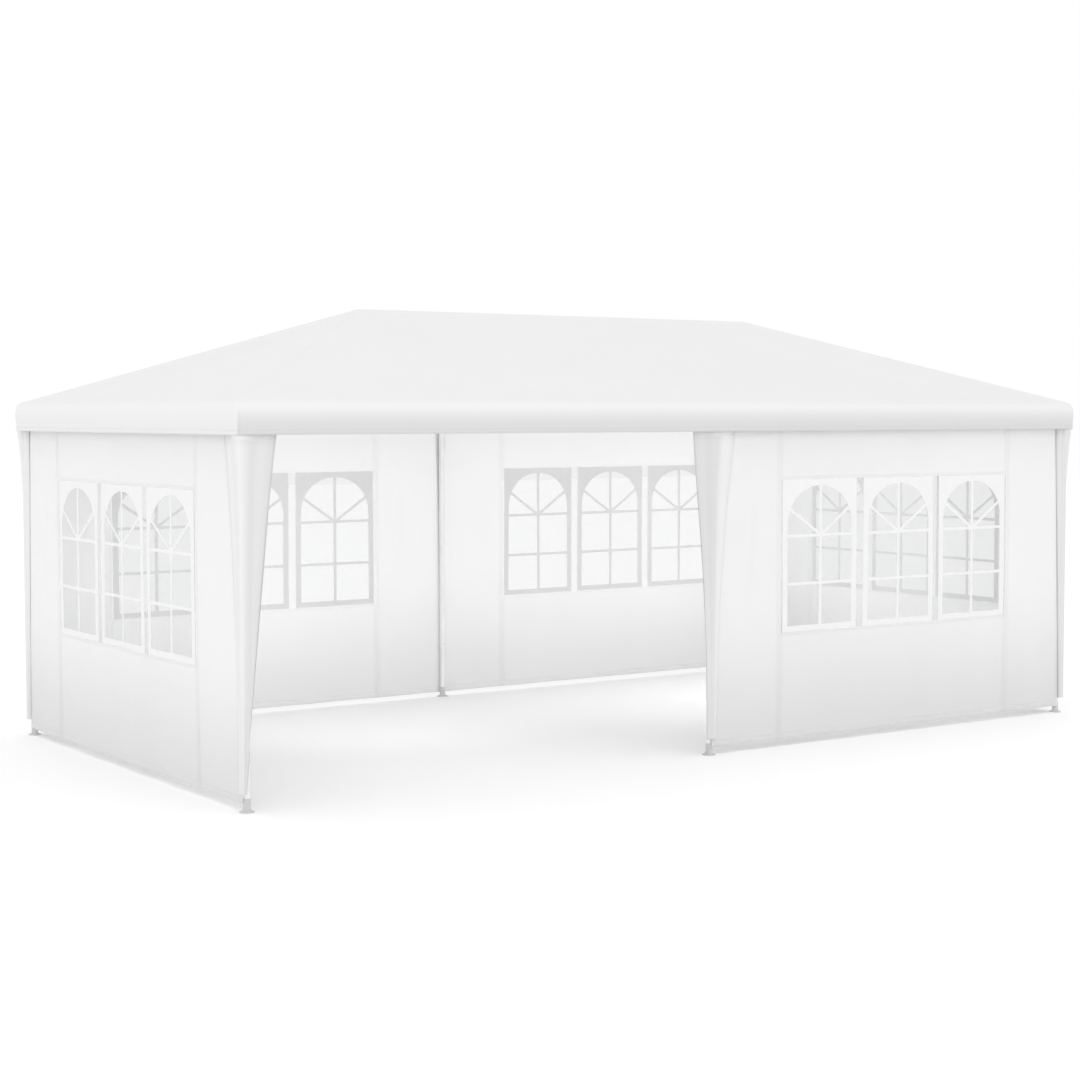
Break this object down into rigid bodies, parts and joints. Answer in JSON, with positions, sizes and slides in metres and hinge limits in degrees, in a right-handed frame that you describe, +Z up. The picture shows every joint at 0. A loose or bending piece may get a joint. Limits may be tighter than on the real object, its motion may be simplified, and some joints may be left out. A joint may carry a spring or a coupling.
{
  "type": "marquee tent",
  "caption": "Hip-roofed party marquee on six legs, with a rounded valance, windowed side walls, tapering leg drapes and one open bay as the way in.",
  "frame": {"origin": "centre of the footprint on the ground, under the middle of the roof", "axes": "+X along the long side, to the right seen from the open front; +Y to the back; +Z up"},
  "size_m": [6.15, 3.15, 2.6403],
  "materials": {
    "roof_cloth": "coated woven polyethylene, matt with a soft sheen",
    "wall_cloth": "coated woven polyethylene, matt with a soft sheen",
    "drape_cloth": "soft coated cloth, matt",
    "window_film": "clear soft film with white printed window frames",
    "frame_tube": "white powder coat, satin",
    "tube_fitting": "moulded, satin",
    "leg_foot": "light grey, satin"
  },
  "bodies": {
    "root": {"roof_cover": "roof_cloth", "wall_front_right": "wall_cloth", "wall_right_end": "wall_cloth", "wall_back_right": "wall_cloth", "wall_back_left": "wall_cloth", "wall_left_end": "wall_cloth", "window_front_right": "window_film", "window_right_end": "window_film", "window_back_right": "window_film", "window_back_left": "window_film", "window_left_end": "window_film", "drape_front_left": "drape_cloth", "drape_front_middle": "drape_cloth", "drape_front_right": "drape_cloth", "drape_back_left": "drape_cloth", "drape_back_middle": "drape_cloth", "drape_back_right": "drape_cloth", "leg_front_left": "frame_tube", "leg_front_middle": "frame_tube", "leg_front_right": "frame_tube", "leg_back_left": "frame_tube", "leg_back_middle": "frame_tube", "leg_back_right": "frame_tube", "eave_front_left": "frame_tube", "eave_front_right": "frame_tube", "eave_back_left": "frame_tube", "eave_back_right": "frame_tube", "eave_left_end": "frame_tube", "eave_right_end": "frame_tube", "hip_front_left": "frame_tube", "hip_front_right": "frame_tube", "hip_back_left": "frame_tube", "hip_back_right": "frame_tube", "rafter_front": "frame_tube", "rafter_back": "frame_tube", "ridge_left": "frame_tube", "ridge_right": "frame_tube", "fitting_front_left": "tube_fitting", "fitting_front_middle": "tube_fitting", "fitting_front_right": "tube_fitting", "fitting_back_left": "tube_fitting", "fitting_back_middle": "tube_fitting", "fitting_back_right": "tube_fitting", "fitting_ridge_left": "tube_fitting", "fitting_ridge_middle": "tube_fitting", "fitting_ridge_right": "tube_fitting", "foot_front_left": "leg_foot", "foot_front_middle": "leg_foot", "foot_front_right": "leg_foot", "foot_back_left": "leg_foot", "foot_back_middle": "leg_foot", "foot_back_right": "leg_foot"}
  },
  "joints": []
}
